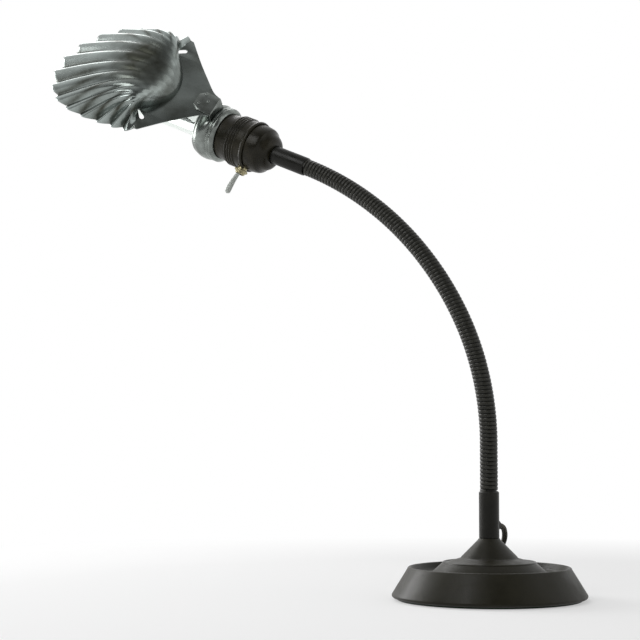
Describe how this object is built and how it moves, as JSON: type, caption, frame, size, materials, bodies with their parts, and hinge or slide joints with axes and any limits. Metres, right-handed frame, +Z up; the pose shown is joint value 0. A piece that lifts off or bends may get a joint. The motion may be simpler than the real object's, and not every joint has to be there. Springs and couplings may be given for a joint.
{
  "type": "gooseneck desk lamp",
  "caption": "Desk lamp with a round cast base, a bending ribbed neck, a lampholder with a lever switch and a scallop-shaped metal shade over a tubular bulb.",
  "frame": {"origin": "centre of the base's underside, on the table", "axes": "+Z up along the stem; the neck reaches towards -X and a little towards +Y; +Y is the back, where the cord lies"},
  "size_m": [0.4342, 0.2493, 0.4768],
  "materials": {
    "base_paint": "satin dark olive-black paint on cast iron",
    "felt": "dark felt",
    "steel": "plain zinc-plated",
    "cord_rubber": "matt",
    "neck_black": "worn black lacquer on wound steel",
    "holder_brown": "dark bronzed brass, satin",
    "liner_card": "pressed fibre card",
    "ceramic": "glazed porcelain look, pale",
    "brass": "aged brass",
    "lever_ivory": "pale ivory, worn",
    "shade_aluminium": "polished cast aluminium, oxidised",
    "bulb_glass": "clear",
    "filament": "drawn wire",
    "lead_wire": "cotton-covered",
    "cord_cloth": "braided cloth",
    "tie_paper": "matt strap",
    "plug_plastic": "moulded dark brown"
  },
  "bodies": {
    "root": {"base_casting": "base_paint", "felt_pad": "felt", "base_washer": "steel", "base_locknut": "steel", "base_nipple": "steel", "stem_tube": "base_paint", "cord_bushing": "cord_rubber", "stem_leads": "lead_wire", "neck_segment_01": "neck_black", "power_cord": "cord_cloth", "cord_coil": "cord_cloth", "cord_tail": "cord_cloth", "cord_tie": "tie_paper", "plug_body": "plug_plastic", "plug_blades": "steel"},
    "neck_02": {"neck_segment_02": "neck_black"},
    "neck_03": {"neck_segment_03": "neck_black"},
    "neck_04": {"neck_segment_04": "neck_black"},
    "neck_05": {"neck_segment_05": "neck_black"},
    "neck_06": {"neck_segment_06": "neck_black"},
    "neck_07": {"neck_segment_07": "neck_black"},
    "neck_08": {"neck_segment_08": "neck_black"},
    "neck_09": {"neck_segment_09": "neck_black"},
    "neck_10": {"neck_segment_10": "neck_black"},
    "neck_11": {"neck_segment_11": "neck_black"},
    "neck_12": {"neck_segment_12": "neck_black"},
    "neck_13": {"neck_segment_13": "neck_black"},
    "neck_14": {"neck_segment_14": "neck_black"},
    "neck_15": {"neck_segment_15": "neck_black"},
    "neck_16": {"neck_segment_16": "neck_black"},
    "neck_17": {"neck_segment_17": "neck_black"},
    "head": {"neck_segment_18": "neck_black", "upper_ferrule": "holder_brown", "socket_cap": "holder_brown", "head_locknut": "steel", "socket_shell": "holder_brown", "socket_liner": "liner_card", "socket_block": "ceramic", "terminal_screws": "steel", "screw_shell": "brass", "centre_contact": "brass", "head_leads": "lead_wire", "switch_bushing": "brass", "switch_nut": "brass", "switch_body": "ceramic", "bulb_cap": "shade_aluminium", "bulb_contact": "brass", "bulb_glass": "bulb_glass", "bulb_mount": "bulb_glass", "bulb_filament": "filament"},
    "shade": {"shade_ring": "shade_aluminium", "shade_neck_plate": "shade_aluminium", "shade_shell": "shade_aluminium", "shade_rivets": "shade_aluminium"},
    "lever": {"switch_lever": "lever_ivory"}
  },
  "joints": [
    {"name": "lower_bend", "type": "hinge", "parent": "root", "child": "neck_02", "pos_m": [0, 0, 0.10136], "axis": [-0.4787, -0.878, 0], "range_deg": [-4, 4]},
    {"name": "sway", "type": "hinge", "parent": "neck_02", "child": "neck_03", "pos_m": [0, 0, 0.11972], "axis": [0.878, -0.4787, 0], "range_deg": [-6, 6]},
    {"name": "lower_bend_03", "type": "hinge", "parent": "neck_03", "child": "neck_04", "pos_m": [-0.00064, 0.00035, 0.13806], "axis": [-0.4787, -0.878, 0], "range_deg": [-4, 4]},
    {"name": "lower_bend_04", "type": "hinge", "parent": "neck_04", "child": "neck_05", "pos_m": [-0.00261, 0.00143, 0.15628], "axis": [-0.4787, -0.878, 0], "range_deg": [-4, 4]},
    {"name": "sway_05", "type": "hinge", "parent": "neck_05", "child": "neck_06", "pos_m": [-0.0059, 0.00321, 0.17425], "axis": [0.8515, -0.4642, 0.2438], "range_deg": [-6, 6]},
    {"name": "lower_bend_06", "type": "hinge", "parent": "neck_06", "child": "neck_07", "pos_m": [-0.01047, 0.00571, 0.19185], "axis": [-0.4787, -0.878, 0], "range_deg": [-4, 4]},
    {"name": "lower_bend_07", "type": "hinge", "parent": "neck_07", "child": "neck_08", "pos_m": [-0.01629, 0.00888, 0.20896], "axis": [-0.4787, -0.878, 0], "range_deg": [-4, 4]},
    {"name": "sway_08", "type": "hinge", "parent": "neck_08", "child": "neck_09", "pos_m": [-0.02334, 0.01272, 0.22547], "axis": [0.7739, -0.422, 0.4722], "range_deg": [-6, 6]},
    {"name": "upper_bend", "type": "hinge", "parent": "neck_09", "child": "neck_10", "pos_m": [-0.03144, 0.01714, 0.24133], "axis": [-0.4787, -0.878, 0], "range_deg": [-6.5, 5.5]},
    {"name": "upper_bend_10", "type": "hinge", "parent": "neck_10", "child": "neck_11", "pos_m": [-0.04051, 0.02209, 0.25651], "axis": [-0.4787, -0.878, 0], "range_deg": [-6.5, 5.5]},
    {"name": "upper_bend_11", "type": "hinge", "parent": "neck_11", "child": "neck_12", "pos_m": [-0.05049, 0.02753, 0.27092], "axis": [-0.4787, -0.878, 0], "range_deg": [-6.5, 5.5]},
    {"name": "sway_12", "type": "hinge", "parent": "neck_12", "child": "neck_13", "pos_m": [-0.06134, 0.03345, 0.28449], "axis": [0.628, -0.3424, 0.6989], "range_deg": [-6, 6]},
    {"name": "upper_bend_13", "type": "hinge", "parent": "neck_13", "child": "neck_14", "pos_m": [-0.07301, 0.03981, 0.29716], "axis": [-0.4787, -0.878, 0], "range_deg": [-6.5, 5.5]},
    {"name": "upper_bend_14", "type": "hinge", "parent": "neck_14", "child": "neck_15", "pos_m": [-0.08542, 0.04657, 0.30887], "axis": [-0.4787, -0.878, 0], "range_deg": [-6.5, 5.5]},
    {"name": "upper_bend_15", "type": "hinge", "parent": "neck_15", "child": "neck_16", "pos_m": [-0.0985, 0.0537, 0.3196], "axis": [-0.4787, -0.878, 0], "range_deg": [-6.5, 5.5]},
    {"name": "sway_16", "type": "hinge", "parent": "neck_16", "child": "neck_17", "pos_m": [-0.11217, 0.06116, 0.32932], "axis": [0.4399, -0.2398, 0.8655], "range_deg": [-6, 6]},
    {"name": "upper_bend_17", "type": "hinge", "parent": "neck_17", "child": "head", "pos_m": [-0.12638, 0.0689, 0.33798], "axis": [-0.4787, -0.878, 0], "range_deg": [-6.5, 5.5]},
    {"name": "shade_turn", "type": "hinge", "parent": "head", "child": "shade", "pos_m": [-0.21731, 0.11848, 0.38152], "axis": [-0.8112, 0.4423, 0.3827], "range_deg": [-90, 90]},
    {"name": "switch_flip", "type": "hinge", "parent": "head", "child": "lever", "pos_m": [-0.19503, 0.10029, 0.34838], "axis": [-0.3754, -0.8955, 0.2391], "range_deg": [0, 16]}
  ],
  "couplings": [
    {"joint": "lower_bend_03", "follows": "lower_bend", "ratio": 1},
    {"joint": "lower_bend_04", "follows": "lower_bend", "ratio": 1},
    {"joint": "sway_05", "follows": "sway", "ratio": 1},
    {"joint": "lower_bend_06", "follows": "lower_bend", "ratio": 1},
    {"joint": "lower_bend_07", "follows": "lower_bend", "ratio": 1},
    {"joint": "sway_08", "follows": "sway", "ratio": 1},
    {"joint": "upper_bend_10", "follows": "upper_bend", "ratio": 1},
    {"joint": "upper_bend_11", "follows": "upper_bend", "ratio": 1},
    {"joint": "sway_12", "follows": "sway", "ratio": 1},
    {"joint": "upper_bend_13", "follows": "upper_bend", "ratio": 1},
    {"joint": "upper_bend_14", "follows": "upper_bend", "ratio": 1},
    {"joint": "upper_bend_15", "follows": "upper_bend", "ratio": 1},
    {"joint": "sway_16", "follows": "sway", "ratio": 1},
    {"joint": "upper_bend_17", "follows": "upper_bend", "ratio": 1}
  ]
}
